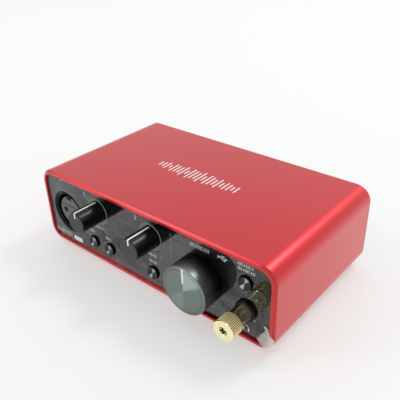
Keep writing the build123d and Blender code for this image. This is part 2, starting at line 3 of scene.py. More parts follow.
import bmesh
import bpy
from mathutils import Matrix, Vector


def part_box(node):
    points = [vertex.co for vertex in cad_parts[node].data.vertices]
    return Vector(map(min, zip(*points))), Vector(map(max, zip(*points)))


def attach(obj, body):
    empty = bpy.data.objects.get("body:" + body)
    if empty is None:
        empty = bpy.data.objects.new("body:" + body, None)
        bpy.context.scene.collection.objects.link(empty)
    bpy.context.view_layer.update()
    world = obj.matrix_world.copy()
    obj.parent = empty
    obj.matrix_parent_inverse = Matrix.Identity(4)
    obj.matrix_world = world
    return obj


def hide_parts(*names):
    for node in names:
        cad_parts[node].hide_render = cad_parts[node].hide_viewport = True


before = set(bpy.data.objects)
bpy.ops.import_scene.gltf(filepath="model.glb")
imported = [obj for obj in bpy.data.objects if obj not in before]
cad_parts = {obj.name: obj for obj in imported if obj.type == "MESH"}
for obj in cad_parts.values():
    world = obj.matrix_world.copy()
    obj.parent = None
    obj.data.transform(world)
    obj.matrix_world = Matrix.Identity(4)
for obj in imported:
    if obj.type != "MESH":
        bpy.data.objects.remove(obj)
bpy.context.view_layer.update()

MM = 0.001

# ---------------------------------------------------------------- camera
# A normal lens to the right of the unit, which looks down on its front panel and its top. It
# leans a little to one side, as a camera held by hand does.
camera_azimuth = math.radians(40.93)
camera_elevation = math.radians(30.02)
camera_roll = math.radians(-1.84)
camera_distance = 270.7 * MM
camera_aim = Vector((-2.15, 10.05, 28.03)) * MM
camera_lens = 47.98

back = Vector((
    math.sin(camera_azimuth) * math.cos(camera_elevation),
    -math.cos(camera_azimuth) * math.cos(camera_elevation),
    math.sin(camera_elevation),
))
level_right = Vector((0, 0, 1)).cross(back).normalized()
level_up = back.cross(level_right)
lean_right = level_right * math.cos(camera_roll) + level_up * math.sin(camera_roll)
lean_up = back.cross(lean_right)
camera = bpy.data.objects.new("camera", bpy.data.cameras.new("camera"))
camera.data.lens = camera_lens
camera.matrix_world = Matrix.Translation(camera_aim + back * camera_distance) @ Matrix((
    (lean_right.x, lean_up.x, back.x, 0),
    (lean_right.y, lean_up.y, back.y, 0),
    (lean_right.z, lean_up.z, back.z, 0),
    (0, 0, 0, 1),
))
bpy.context.scene.collection.objects.link(camera)
bpy.context.scene.camera = camera

# ---------------------------------------------------------------- table and light
# A plain white light table in a bright room, with even light from all round. A soft lamp behind
# on the right draws the sleeve's rounded edge, and one in front on the left draws the rim.
table_size = 6.0
table_colour = (0.46, 0.465, 0.46)
table_glow = 0.43
room_colour = (0.985, 1.0, 1.0)
room_strength = 0.83
glow_colour = (1.0, 1.0, 0.99)
lamps = {
    "lamp_behind": {"place": (0.42, 0.96, 1.38), "size": 0.46, "power": 7.5},
    "lamp_front": {"place": (-0.98, -0.86, 1.13), "size": 0.40, "power": 3.0},
}

world = bpy.data.worlds.new("room")
world.use_nodes = True
world.node_tree.nodes["Background"].inputs["Color"].default_value = (*room_colour, 1)
world.node_tree.nodes["Background"].inputs["Strength"].default_value = room_strength
bpy.context.scene.world = world
bpy.context.scene.view_settings.view_transform = "Standard"

for name, lamp in lamps.items():
    light = bpy.data.lights.new(name, "AREA")
    light.shape = "DISK"
    light.size = lamp["size"]
    light.energy = lamp["power"]
    holder = bpy.data.objects.new(name, light)
    holder.location = lamp["place"]
    holder.rotation_mode = "QUATERNION"
    holder.rotation_quaternion = (-Vector(lamp["place"])).to_track_quat("-Z", "Y")
    bpy.context.scene.collection.objects.link(holder)

table_mesh = bpy.data.meshes.new("table")
half = table_size / 2
table_mesh.from_pydata(
    [(-half, -half, 0), (half, -half, 0), (half, half, 0), (-half, half, 0)], [], [(0, 1, 2, 3)]
)
table = bpy.data.objects.new("table", table_mesh)
bpy.context.scene.collection.objects.link(table)


class Signal:
    """A number, colour or vector that changes over a surface, kept as a shader socket."""

    def __init__(self, socket):
        self.socket = socket

    def node(self, kind, settings, inputs, output=0):
        """A new node with its settings made and its sockets set or linked; one of its outputs."""
        made = self.socket.id_data.nodes.new(kind)
        for name, value in settings.items():
            setattr(made, name, value)
        for place, value in inputs.items():
            if isinstance(value, Signal):
                self.socket.id_data.links.new(value.socket, made.inputs[place])
            else:
                made.inputs[place].default_value = value
        return Signal(made.outputs[output])

    def math(self, operation, first, second=0.0):
        return self.node("ShaderNodeMath", {"operation": operation}, {0: first, 1: second})

    def __add__(self, other):
        return self.math("ADD", self, other)

    def __sub__(self, other):
        return self.math("SUBTRACT", self, other)

    def __rsub__(self, other):
        return self.math("SUBTRACT", other, self)

    def __mul__(self, other):
        return self.math("MULTIPLY", self, other)

    __radd__ = __add__
    __rmul__ = __mul__

    def noise(self, scale):
        """Soft noise from 0 to 1 whose lumps are about 1 / scale metres across."""
        sockets = {"Vector": self, "Scale": scale, "Detail": 2.0}
        return self.node("ShaderNodeTexNoise", {}, sockets)

    def blend(self, first, second):
        """The first colour where this is 0 and the second where it is 1."""
        colours = [
            colour if isinstance(colour, Signal) else (*colour, 1) for colour in (first, second)
        ]
        sockets = {0: self, 6: colours[0], 7: colours[1]}
        return self.node("ShaderNodeMix", {"data_type": "RGBA"}, sockets, output=2)

    def part(self, axis):
        """One of the three numbers of a vector."""
        return self.node("ShaderNodeSeparateXYZ", {}, {0: self}, output="XYZ".index(axis))

    def between(self, low, high):
        """Rises smoothly from 0 at the low value to 1 at the high one."""
        sockets = {"Value": self, "From Min": low, "From Max": high}
        return self.node("ShaderNodeMapRange", {"interpolation_type": "SMOOTHSTEP"}, sockets)

    def band(self, rise, fall):
        """Rises from 0 to 1 over one pair of values and falls back to 0 over another pair."""
        return self.between(*rise) * (1 - self.between(*fall))

    def slope(self, direction):
        """How far the surface faces a direction of the piece's own, from -1 to 1."""
        faced = self.node("ShaderNodeNewGeometry", {}, {}, output=1)
        own = self.node(
            "ShaderNodeVectorTransform",
            {"vector_type": "NORMAL", "convert_from": "WORLD", "convert_to": "OBJECT"},
            {0: faced},
        )
        facing = {0: own, 1: direction}
        return self.node(
            "ShaderNodeVectorMath", {"operation": "DOT_PRODUCT"}, facing, output=1
        )

    def bump(self, height):
        """A normal that follows this as a relief of that height in metres."""
        sockets = {"Height": self, "Strength": 1.0, "Distance": height}
        return self.node("ShaderNodeBump", {}, sockets)


def finish(name, colour, roughness, **fixed):
    """A material whose constant sockets are set here, its shader, and its Object coordinates."""
    material = bpy.data.materials.new(name)
    material.use_nodes = True
    shader = material.node_tree.nodes["Principled BSDF"]
    values = {"Base Color": (*colour, 1), "Roughness": roughness}
    values.update({socket.replace("_", " "): value for socket, value in fixed.items()})
    for socket, value in values.items():
        shader.inputs[socket].default_value = value
    coordinates = material.node_tree.nodes.new("ShaderNodeTexCoord")
    return material, shader, Signal(coordinates.outputs["Object"])


def drive(shader, **signals):
    """Link signals to a shader's sockets."""
    for socket, signal in signals.items():
        shader.id_data.links.new(signal.socket, shader.inputs[socket.replace("_", " ")])


def paint(material, *names):
    """Give CAD nodes a material."""
    for name in names:
        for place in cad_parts[name].material_slots:
            place.material = material


table_paint, table_shader, table_place = finish(
    "table_top", table_colour, 0.55, Emission_Color=(*glow_colour, 1),
    Emission_Strength=table_glow,
)
drive(table_shader, Roughness=table_place.noise(9.0) * 0.1 + 0.5)
table_paint.cycles.emission_sampling = "NONE"
table_mesh.materials.append(table_paint)

# ---------------------------------------------------------------- case shell
# The sleeve is extruded aluminium, bead blasted and anodised red, so it is satin with a very
# fine grain. The chamfer round its front rim is cut last. It is painted darker as painted shade,
# and a painted highlight is drawn along its middle for the light that it catches.
red = (0.68, 0.013, 0.022)
red_deep = (0.64, 0.010, 0.019)
chamfer_shade = (0.43, 0.007, 0.012)
red_rim = (0.68, 0.010, 0.018)
grain_size = 9000
blotch_size = 22

shell_low, shell_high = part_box("case_shell")
anodised, anodised_shader, anodised_place = finish(
    "anodised_red", red, 0.42, Metallic=0.95, Coat_Weight=0.9, Coat_Roughness=0.30
)
grain = anodised_place.noise(grain_size)
blotch = anodised_place.noise(blotch_size)
forward = anodised_place.slope((0, -1, 0))
chamfer = forward.band((0.45, 0.60), (0.82, 0.95))
rim_face = forward.between(0.90, 0.97)
bright_start = shell_low.y + 0.35 * MM
bright_end = shell_low.y + 0.70 * MM
bright_fade = 0.10 * MM
# The chamfer is painted darker as shade, and a band along its middle is a painted highlight.
chamfer_highlight = chamfer * anodised_place.part("Y").band(
    (bright_start, bright_start + bright_fade), (bright_end - bright_fade, bright_end)
)
satin = blotch.blend(red, red_deep)
drive(
    anodised_shader,
    Base_Color=rim_face.blend(chamfer_highlight.blend(chamfer.blend(satin, chamfer_shade), red), red_rim),
    Roughness=grain * 0.10 + 0.36 - chamfer_highlight * 0.08,
    Normal=grain.bump(0.000001),
)
paint(anodised, "case_shell")

# ---------------------------------------------------------------- mark on the top
# A plain row of level bars printed in pale ink on the sleeve's top, where such units carry a
# mark. The bars are one print, a few hundredths of a millimetre thick.
mark_width = 50 * MM
mark_height = 10 * MM
mark_centre = Vector((-0.8 * MM, shell_low.y + 40.6 * MM, shell_high.z))
mark_bars = 23
bar_fill = 0.36
ink_thickness = 0.04 * MM
round_steps = 6

ink_pale, ink_pale_shader, ink_pale_place = finish("ink_pale", (0.87, 0.74, 0.73), 0.5)
drive(ink_pale_shader, Roughness=ink_pale_place.noise(4000) * 0.2 + 0.4)
ink_white, ink_white_shader, ink_white_place = finish("ink_white", (0.74, 0.75, 0.74), 0.45)
drive(ink_white_shader, Roughness=ink_white_place.noise(4000) * 0.2 + 0.35)


def bar(first, second, width):
    """The outline of a round-ended bar from one point of a flat print to another."""
    first, second = Vector(first), Vector(second)
    along = (second - first).normalized()
    start = math.atan2(along.y, along.x)
    outline = []
    for centre, turn in ((second, -math.pi / 2), (first, math.pi / 2)):
        for step in range(round_steps + 1):
            angle = start + turn + math.pi * step / round_steps
            outline.append(centre + Vector((math.cos(angle), math.sin(angle))) * width / 2)
    return outline


def arc(centre, radius, start, end, steps=16):
    """Points along an arc of a flat print, by angles in degrees."""
    points = []
    for step in range(steps + 1):
        angle = math.radians(start + (end - start) * step / steps)
        points.append((centre[0] + radius * math.cos(angle), centre[1] + radius * math.sin(angle)))
    return points


def line(points, width, closed=False):
    """The outlines of the straight pieces of a line of even width, mitred at its corners."""
    points = [Vector(point) for point in points]
    count = len(points)
    sides = []
    for place, point in enumerate(points):
        before = points[(place - 1) % count] if closed or place else point
        after = points[(place + 1) % count] if closed or place < count - 1 else point
        first = (point - before).normalized() if point != before else (after - point).normalized()
        second = (after - point).normalized() if point != after else first
        across = Vector((-(first + second).y, (first + second).x)).normalized()
        reach = width / 2 / max(0.35, across.dot(Vector((-first.y, first.x))))
        sides.append((point - across * reach, point + across * reach))
    pieces = []
    for place in range(count if closed else count - 1):
        right, left = sides[place]
        next_right, next_left = sides[(place + 1) % count]
        pieces.append([right, next_right, next_left, left])
    return pieces


def printed(name, outlines, material, origin, across, up, body="case"):
    """Flat closed shapes of ink on a face: origin is the print's zero, across and up its axes."""
    facing = across.cross(up)
    build = bmesh.new()
    for outline in outlines:
        rings = []
        for depth in (0.0, ink_thickness):
            rings.append([
                build.verts.new(origin + across * p[0] + up * p[1] + facing * depth)
                for p in outline
            ])
        build.faces.new(rings[1])
        build.faces.new(rings[0][::-1])
        for place in range(len(outline)):
            after = (place + 1) % len(outline)
            build.faces.new(
                (rings[0][place], rings[0][after], rings[1][after], rings[1][place])
            )
    bmesh.ops.remove_doubles(build, verts=build.verts, dist=1e-7)
    bmesh.ops.recalc_face_normals(build, faces=build.faces)
    mesh = bpy.data.meshes.new(name)
    build.to_mesh(mesh)
    build.free()
    mesh.materials.append(material)
    piece = bpy.data.objects.new(name, mesh)
    bpy.context.scene.collection.objects.link(piece)
    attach(piece, body)


RIGHT = Vector((1, 0, 0))
AWAY = Vector((0, 1, 0))
UP = Vector((0, 0, 1))
mark_outlines = []
for number in range(mark_bars):
    along = (number + 0.5) / mark_bars - 0.5
    swell = math.cos(along * math.pi) * 0.55 + 0.45
    level = (0.30 + 0.70 * abs(math.sin(number * 1.9 + 0.6))) * swell
    reach = max(0.12, level) * mark_height / 2
    width = mark_width / mark_bars * bar_fill
    x = along * mark_width
    mark_outlines.append(bar((x, -reach), (x, reach), width))
printed("top_mark", mark_outlines, ink_pale, mark_centre, RIGHT, AWAY)

# ---------------------------------------------------------------- front panel
# The panel is moulded in high-gloss black acrylic, as smooth as a mirror, with posts behind it
# for the front board. It is set back inside the sleeve's rim.
gloss_black, gloss_shader, gloss_place = finish(
    "gloss_black", (0.003, 0.003, 0.003), 0.04, Coat_Weight=1.0, Coat_Roughness=0.03
)
drive(gloss_shader, Roughness=gloss_place.noise(60) * 0.02 + 0.02)
paint(gloss_black, "front_panel", "panel_posts")
panel_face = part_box("front_panel")[0].y

# ---------------------------------------------------------------- panel legends
# Pad-printed in white on the panel, under the film. Short rows of strokes stand for the words
# beside the controls, and two numerals number the inputs.
letter_pitch = 1.2825
stroke_width = 0.20 * MM
letter_half = 0.27
letter_round = 0.42
dot_rise = 0.6
dot_half = 0.1
legend_rows = {
    "legend_gain_1": {"middle": (-30.9, 22.1), "letters": 4, "height": 1.45, "dots": 4.9},
    "legend_gain_2": {"middle": (5.4, 21.5), "letters": 4, "height": 1.45, "dots": 5.0},
    "legend_phantom": {"middle": (-36.9, 17.8), "letters": 3, "height": 1.5},
    "legend_tone": {"middle": (-25.1, 17.6), "letters": 3, "height": 1.45},
    "legend_instrument": {"middle": (5.4, 17.8), "letters": 4, "height": 1.45},
    "legend_monitor": {"middle": (33.6, 37.75), "letters": 7, "height": 1.75, "pitch": 1.5},
    "legend_direct_upper": {"middle": (57.0, 39.1), "letters": 6, "height": 1.35},
    "legend_direct_lower": {"middle": (57.2, 37.0), "letters": 7, "height": 1.35, "pitch": 1.2},
    "legend_maker": {"middle": (-61.9, 7.7), "letters": 9, "height": 2.4, "pitch": 1.5},
}


def strokes(middle, letters, height, pitch=letter_pitch, dots=None):
    """A row of strokes, rings and crosses in millimetres, with a dot at each end if dots is set."""
    row = []
    top, half, z = height / 2 * MM, pitch * letter_half * MM, middle[1] * MM
    for number in range(letters):
        x = (middle[0] + (number - (letters - 1) / 2) * pitch) * MM
        kind = number % 3
        if kind == 0:
            row.append(bar((x - half, z - top), (x - half, z + top), stroke_width))
            row.append(bar((x + half, z - top), (x + half, z + top), stroke_width))
        elif kind == 1:
            row += line(arc((x, z), height * letter_round * MM, 30, 330, 12), stroke_width)
        else:
            row.append(bar((x, z - top), (x, z + top), stroke_width))
            row.append(bar((x - half, z), (x + half, z), stroke_width))
    if dots:
        for side in (-1, 1):
            place = (middle[0] + side * dots, middle[1] + dot_rise)
            row.append(bar(*spots(place, (-dot_half, 0), (dot_half, 0)), stroke_width))
    return row


def spots(middle, *steps):
    """Points of a flat print in metres, each a step in millimetres from the middle of a sign."""
    return [((middle[0] + across) * MM, (middle[1] + up) * MM) for across, up in steps]


def on_panel(name, outlines):
    """Print in white on the panel's face."""
    printed(name, outlines, ink_white, Vector((0, panel_face, 0)), RIGHT, UP)


for name, row in legend_rows.items():
    on_panel(name, strokes(**row))

# The numerals: a stem with a flag, and a hooked top that runs down into a foot.
one_middle = (-39.3, 38.2)
two_middle = (-3.9, 38.2)
stem_low, stem_high, flag_tip = spots(one_middle, (0, -1), (0, 1), (-0.45, 0.55))
on_panel("numeral_one", [
    bar(stem_low, stem_high, stroke_width),
    bar(flag_tip, stem_high, stroke_width),
])
hook_middle, foot_left, foot_right = spots(two_middle, (0, 0.45), (-0.55, -1), (0.6, -1))
two_path = arc(hook_middle, 0.52 * MM, 170, -40, 10) + [foot_left, foot_right]
on_panel("numeral_two", line(two_path, stroke_width))

# The tag after the row at the lower left is a solid white block with rounded corners.
tag_middle = (-50.55, 7.15)
tag_reach = (6.7 / 2, 2.7 / 2)
tag_round = 0.5
tag_outline = []
for side, level, turn in ((1, -1, -90), (1, 1, 0), (-1, 1, 90), (-1, -1, 180)):
    corner = (side * (tag_reach[0] - tag_round), level * (tag_reach[1] - tag_round))
    tag_outline += arc(*spots(tag_middle, corner), tag_round * MM, turn, turn + 90, 4)
on_panel("legend_tag", [tag_outline])

# The connection sign: a stem with an arrow and two branches that end in a dot and a square.
sign_middle = (45.7, 37.75)
dot, square, small_dot = spots(sign_middle, (-2.1, 0), (0.6, 0.9), (0.9, -0.9))
on_panel("connection_sign", [
    bar(*spots(sign_middle, (-2.1, 0), (1.5, 0)), stroke_width),
    spots(sign_middle, (1.4, -0.55), (2.4, 0), (1.4, 0.55)),
    *line(spots(sign_middle, (-1.4, 0), (-0.6, 0.9), (0.3, 0.9)), stroke_width),
    *line(spots(sign_middle, (-0.8, 0), (0, -0.9), (0.7, -0.9)), stroke_width),
    arc(dot, 0.5 * MM, 0, 337.5, 15),
    arc(square, 0.4 * MM, 45, 315, 3),
    arc(small_dot, 0.4 * MM, 0, 330, 11),
])

# The headphone sign: a headband with an ear pad at each end, under the headphone jack.
phones_middle = (57.6, 8.0)
phones = line(arc(*spots(phones_middle, (0, 0)), 1.45 * MM, 0, 180, 14), stroke_width)
for side in (-1, 1):
    pad = spots(phones_middle, (side * 1.3, -0.9), (side * 1.3, -0.1))
    phones.append(bar(*pad, 0.75 * MM))
on_panel("headphone_sign", phones)

# ---------------------------------------------------------------- protective film
# A clear adhesive film that the maker sticks over the panel, cut by a die round every control.
# At its lower right corner it has let go and curls out over the sleeve's rim. Its left end is
# drawn a little hazy, partly as a painted sheen for the light that it catches there.
film_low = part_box("protective_film")[0]
haze_and_sheen_length = 50 * MM
film_clear, film_shader, film_place = finish(
    "film_clear", (0.55, 0.57, 0.57), 0.04, Alpha=0.03
)
haze_and_sheen_end = 1 - film_place.part("X").between(film_low.x, film_low.x + haze_and_sheen_length)
drive(film_shader, Alpha=haze_and_sheen_end * (film_place.noise(30) * 0.03 + 0.10))
paint(film_clear, "protective_film")

# The lifted corner: a tab of the same film, crazed white where it was bent, which starts at a
# ragged crease inside the panel's corner and stands out over the rim and past the sleeve.
tab_crease = [(62.9, 5.7), (64.2, 7.3), (64.9, 8.9), (66.1, 10.4), (66.9, 11.8), (67.5, 14.3)]
tab_edge = [(66.0, 5.0), (68.7, 3.6), (71.6, 4.6), (73.8, 7.6), (73.6, 10.0), (70.5, 11.0)]
tab_rise = 1.15 * MM
tab_rise_length = 3.5 * MM
tab_slope = 0.06
tab_gap = 0.02 * MM
tab_pivot = Vector((64 * MM, 0, 8 * MM))
tab_way = Vector((0.8, 0, -0.6))
crazed_start = 67.0 * MM
crazed_end = 71.5 * MM
tab_thickness = 0.12 * MM
tab_rows = 8

film_bent, bent_shader, bent_place = finish("film_bent", (0.93, 0.90, 0.89), 0.35, Alpha=0.5)
bent_far = bent_place.part("X").between(crazed_start, crazed_end)
drive(bent_shader, Alpha=bent_far * 0.16 + 0.24 + bent_place.noise(700) * 0.16)

inner = [Vector((x * MM, 0, z * MM)) for x, z in tab_crease]
outer = [Vector((x * MM, 0, z * MM)) for x, z in tab_edge]
build = bmesh.new()
grid = []
for row in range(tab_rows + 1):
    share = row / tab_rows
    points = []
    for start, end in zip(inner, outer):
        point = start.lerp(end, share)
        away = max(0.0, (point - tab_pivot).dot(tab_way))
        risen = min(1.0, away / tab_rise_length)
        point.y = film_low.y - tab_gap - tab_rise * risen * risen * (3 - 2 * risen)
        point.y -= tab_slope * away
        points.append(build.verts.new(point))
    grid.append(points)
for row in range(tab_rows):
    for column in range(len(inner) - 1):
        build.faces.new((
            grid[row][column], grid[row + 1][column],
            grid[row + 1][column + 1], grid[row][column + 1],
        ))
bmesh.ops.recalc_face_normals(build, faces=build.faces)
tab_mesh = bpy.data.meshes.new("film_tab")
build.to_mesh(tab_mesh)
build.free()
tab_mesh.materials.append(film_bent)
tab_mesh.shade_smooth()
film_tab = bpy.data.objects.new("film_tab", tab_mesh)
bpy.context.scene.collection.objects.link(film_tab)
wall = film_tab.modifiers.new("wall", "SOLIDIFY")
wall.thickness = tab_thickness
wall.offset = 0
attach(film_tab, "case")

# A straight crease in the film, and a few specks of dust caught under it.
film_scuff, scuff_shader, scuff_place = finish("film_scuff", (0.80, 0.81, 0.80), 0.5, Alpha=0.25)
drive(scuff_shader, Alpha=scuff_place.noise(500) * 0.25 + 0.02)
film_zero = Vector((0, film_low.y, 0))
crease_low, crease_high = spots((17.6, 0), (0, 24.0), (0, 38.5))
crease = bar(crease_low, crease_high, 0.28 * MM)
printed("film_crease", [crease], film_scuff, film_zero, RIGHT, UP)
specks = {(-57.3, 39.9): 0.45, (41.1, 10.6): 0.40, (61.8, 14.5): 0.55, (66.9, 13.6): 0.6,
          (-20.0, 6.9): 0.3, (62.3, 25.0): 0.3}
dust = [
    arc(*spots(middle, (0, 0)), reach * MM, 0, 300, 5) for middle, reach in specks.items()
]
dust_pale, dust_shader, dust_place = finish("dust_pale", (0.62, 0.60, 0.55), 0.7)
drive(dust_shader, Roughness=dust_place.noise(3000) * 0.2 + 0.6)
printed("dust_specks", dust, dust_pale, film_zero, RIGHT, UP)

# ---------------------------------------------------------------- gain and monitor knobs
# The gain knobs are black with a satin skin. The monitor knob is a black skirt with a turned
# disc in its face, and the light on both is drawn in their finish, so it turns with them. A
# white pointer is let into each knob, and a translucent ring lies round each gain knob.
knob_black, knob_shader, knob_place = finish(
    "knob_black", (0.003, 0.003, 0.003), 0.30, Specular_IOR_Level=0.35
)
knob_grain = knob_place.noise(7000)
knob_end = knob_place.slope((0, -1, 0)).between(0.75, 0.95)
drive(
    knob_shader,
    Base_Color=knob_end.blend((0.002, 0.002, 0.002), (0.042, 0.045, 0.044)),
    Roughness=knob_grain * 0.06 + 0.27 + knob_end * 0.25,
    Normal=knob_grain.bump(0.0000008),
)
paint(knob_black, "gain_knob_1", "gain_knob_2")

skirt_dark = (0.016, 0.018, 0.018)
skirt_lit = (0.22, 0.25, 0.255)
lit_length = 9 * MM
skirt_black, skirt_shader, skirt_place = finish("skirt_black", skirt_dark, 0.42, Metallic=1.0)
skirt_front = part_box("monitor_knob")[0].y
skirt_behind = skirt_place.part("Y").between(skirt_front, skirt_front + lit_length)
drive(
    skirt_shader,
    Base_Color=skirt_behind.blend(skirt_lit, skirt_dark),
    Roughness=skirt_place.noise(4000) * 0.05 + 0.36,
)
paint(skirt_black, "monitor_knob")

pointer_white, pointer_shader, pointer_place = finish("pointer_white", (0.86, 0.86, 0.85), 0.35)
drive(pointer_shader, Roughness=pointer_place.noise(5000) * 0.15 + 0.28)
paint(pointer_white, "gain_pointer_1", "gain_pointer_2", "monitor_pointer")

ring_milky, ring_shader, ring_place = finish("ring_milky", (0.20, 0.205, 0.175), 0.3)
drive(ring_shader, Roughness=ring_place.noise(3000) * 0.1 + 0.25)
paint(ring_milky, "gain_ring_1", "gain_ring_2")


def turned(place, centre, pitch):
    """A turned face at a point: how near it lies to the streak of light, its ripple, its radius."""
    middle = {0: place, 1: centre}
    out = place.node("ShaderNodeVectorMath", {"operation": "SUBTRACT"}, middle)
    flat = place.node("ShaderNodeVectorMath", {"operation": "MULTIPLY"}, {0: out, 1: (1, 0, 1)})
    reach = place.node("ShaderNodeVectorMath", {"operation": "LENGTH"}, {0: flat}, output=1)
    away = place.node("ShaderNodeVectorMath", {"operation": "NORMALIZE"}, {0: flat})
    aim = {0: away, 1: highlight_way}
    along = place.node("ShaderNodeVectorMath", {"operation": "DOT_PRODUCT"}, aim, output=1)
    turns = {"W": reach, "Scale": 1 / pitch, "Detail": 1.0}
    ripple = place.node("ShaderNodeTexNoise", {"noise_dimensions": "1D"}, turns)
    return along, ripple, reach


def middle_of(node):
    """The centre of a CAD node's box."""
    low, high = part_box(node)
    return (low + high) / 2


highlight_angle = math.radians(27)
highlight_way = (math.sin(highlight_angle), 0, math.cos(highlight_angle))
disc_dark = (0.185, 0.225, 0.200)
disc_light = (0.37, 0.44, 0.42)
groove_shade_grey = (0.06, 0.075, 0.07)

disc_metal, disc_shader, disc_place = finish("disc_aluminium", disc_dark, 0.30, Metallic=1.0)
disc_along, disc_ripple, disc_reach = turned(disc_place, middle_of("monitor_disc"), 0.09 * MM)
# The two streaks across the disc, a bright one above and a fainter one below, are painted
# highlights.
upper_highlight = disc_along.between(0.80, 0.95)
lower_highlight = (disc_along * -1).between(0.80, 0.99) * 0.30
disc_highlights = upper_highlight + lower_highlight
disc_low, disc_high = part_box("monitor_disc")
disc_radius = (disc_high.x - disc_low.x) / 2
# A thin dark ring near the disc's edge is painted shade, drawn as the shadow in a groove.
groove_start = disc_radius - 1.15 * MM
groove_end = disc_radius - 0.75 * MM
groove_fade = 0.15 * MM
disc_groove_shade = disc_reach.band(
    (groove_start, groove_start + groove_fade), (groove_end - groove_fade, groove_end)
)
drive(
    disc_shader,
    Base_Color=disc_groove_shade.blend(disc_highlights.blend(disc_dark, disc_light), groove_shade_grey),
    Roughness=disc_ripple * 0.10 + 0.24,
)
paint(disc_metal, "monitor_disc")

# ---------------------------------------------------------------- push buttons
# Each button is a dark metallised cap with a dished face, turned like the monitor knob's disc.
# The same bow-tie of light is drawn in its finish.
cap_dark = (0.035, 0.038, 0.042)
cap_light = (0.44, 0.45, 0.45)
for button in ("phantom", "tone", "instrument", "direct"):
    cap_metal, cap_shader, cap_place = finish(
        button + "_cap_metal", cap_dark, 0.26, Metallic=1.0
    )
    cap_along, cap_ripple = turned(cap_place, middle_of(button + "_button"), 0.05 * MM)[:2]
    cap_front = cap_place.slope((0, -1, 0)).between(0.75, 0.95)
    # The bow-tie across each cap's face is a painted highlight.
    cap_highlights = (cap_along * cap_along).between(0.78, 0.98) * cap_front
    drive(
        cap_shader,
        Base_Color=cap_highlights.blend(cap_dark, cap_light),
        Roughness=cap_ripple * 0.10 + 0.20,
    )
    paint(cap_metal, button + "_button")

# ---------------------------------------------------------------- microphone socket and jacks
# The sockets are moulded in black nylon, which is slightly rough. The microphone insert is a
# dark grey moulding with three gilt contacts deep in its holes, painted dark as the shade there.
nylon, nylon_shader, nylon_place = finish(
    "nylon_black", (0.003, 0.003, 0.003), 0.28, Specular_IOR_Level=0.15
)
nylon_grain = nylon_place.noise(5000)
drive(nylon_shader, Roughness=nylon_grain * 0.12 + 0.22, Normal=nylon_grain.bump(0.000001))
paint(
    nylon, "xlr_housing", "input_jack", "headphone_jack", "input_jack_nut",
    "headphone_jack_nut", "line_out_jack_left", "line_out_jack_right", "usb_tongue",
)
insert_grey, insert_shader, insert_place = finish("insert_grey", (0.095, 0.10, 0.098), 0.45)
insert_grain = insert_place.noise(4000)
drive(insert_shader, Roughness=insert_grain * 0.12 + 0.38, Normal=insert_grain.bump(0.000005))
paint(insert_grey, "xlr_insert")
shaded_contact_paint, contact_shader, contact_place = finish(
    "shaded_contact_paint", (0.10, 0.08, 0.04), 0.4, Metallic=1.0
)
drive(contact_shader, Roughness=contact_place.noise(3000) * 0.1 + 0.35)
paint(shaded_contact_paint, "xlr_contacts")

# ---------------------------------------------------------------- headphone adapter
# The adapter is turned from brass, straight-knurled on its grip and gilt. Its 6.35 mm plug goes
# into the headphone jack, and the small socket in its face takes a 3.5 mm plug.
gilt, gilt_shader, gilt_place = finish("gilt", (1.0, 0.92, 0.58), 0.15, Metallic=1.0)
drive(gilt_shader, Roughness=gilt_place.noise(2500) * 0.05 + 0.17)
paint(gilt, "adapter_grip", "adapter_sleeve", "adapter_ring", "adapter_tip")
paint(nylon, "adapter_insulators")

grip_low, grip_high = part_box("adapter_grip")
grip_x = (grip_low.x + grip_high.x) / 2
grip_z = (grip_low.z + grip_high.z) / 2
grip_radius = (grip_high.x - grip_low.x) / 2
grip_face = grip_low.y
knurl_start = 1.0 * MM
knurl_end = 6.75 * MM
knurl_ribs = 40
knurl_depth = 0.22 * MM
neck_end = grip_high.y - grip_low.y
neck_radius = 4.1 * MM
socket_radius = 1.8 * MM
socket_edge = 0.35 * MM
lathe_steps = 96


def lathe(name, profile, x, z, start, material, body, closed=True):
    """A round piece along Y from (radius, distance behind start) points, turned about (x, z)."""
    build = bmesh.new()
    rings = []
    for radius, behind in profile:
        ring = []
        for step in range(lathe_steps):
            angle = 2 * math.pi * step / lathe_steps
            ring.append(build.verts.new((
                x + radius * math.cos(angle), start + behind, z + radius * math.sin(angle),
            )))
        rings.append(ring)
    pairs = list(zip(rings, rings[1:]))
    if closed:
        pairs.append((rings[-1], rings[0]))
    for first, second in pairs:
        for step in range(lathe_steps):
            after = (step + 1) % lathe_steps
            build.faces.new((first[step], first[after], second[after], second[step]))
    bmesh.ops.remove_doubles(build, verts=build.verts, dist=1e-7)
    bmesh.ops.recalc_face_normals(build, faces=build.faces)
    mesh = bpy.data.meshes.new(name)
    build.to_mesh(mesh)
    build.free()
    mesh.materials.append(material)
    mesh.shade_smooth()
    mesh.set_sharp_from_angle(angle=math.radians(28))
    piece = bpy.data.objects.new(name, mesh)
    bpy.context.scene.collection.objects.link(piece)
    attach(piece, body)
    return piece


core_radius = grip_radius - knurl_depth
grip_profile = [
    (socket_radius, 0.55 * MM),
    (socket_radius + socket_edge, 0.10 * MM),
    (socket_radius + socket_edge + 0.1 * MM, 0.0),
    (grip_radius - 0.85 * MM, 0.0),
    (grip_radius - 0.75 * MM, 0.10 * MM),
    (grip_radius - 0.65 * MM, 0.0),
    (grip_radius - 0.45 * MM, 0.0),
    (grip_radius - 0.1 * MM, 0.25 * MM),
    (grip_radius - 0.02 * MM, 0.55 * MM),
    (grip_radius - 0.02 * MM, knurl_start - 0.15 * MM),
    (core_radius - 0.1 * MM, knurl_start),
    (core_radius - 0.1 * MM, knurl_end),
    (neck_radius + 0.1 * MM, knurl_end),
    (neck_radius, knurl_end + 0.5 * MM),
    (neck_radius, neck_end),
    (socket_radius, neck_end),
]
grip_turned = lathe("grip_turned", grip_profile, grip_x, grip_z, grip_face, gilt, "adapter")

